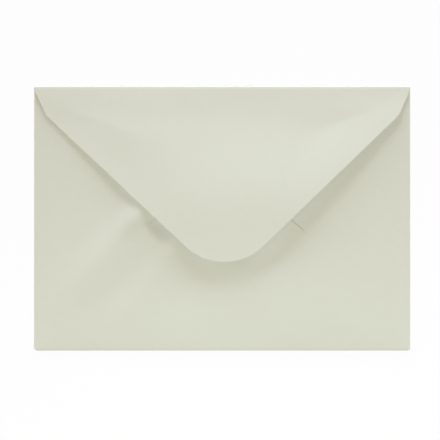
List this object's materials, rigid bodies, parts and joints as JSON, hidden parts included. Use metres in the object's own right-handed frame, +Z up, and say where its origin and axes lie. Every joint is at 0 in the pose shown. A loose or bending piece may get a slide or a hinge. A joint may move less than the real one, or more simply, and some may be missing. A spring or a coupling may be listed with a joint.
{
  "type": "paper envelope",
  "caption": "Flat envelope, folded and glued from a sheet of paper, with a deep V-shaped flap that has a round tip and stands slightly open over the pocket.",
  "frame": {"origin": "middle of the outline, on the underside of the address panel, which lies on the table", "axes": "+X along the width, +Y towards the fold of the top flap, +Z up from the address panel to the flap"},
  "size_m": [0.162, 0.114, 0.0043],
  "materials": {
    "paper": "smooth uncoated ivory paper with a faint sheen, slightly green in tone"
  },
  "bodies": {
    "root": {"envelope": "paper"}
  },
  "joints": []
}
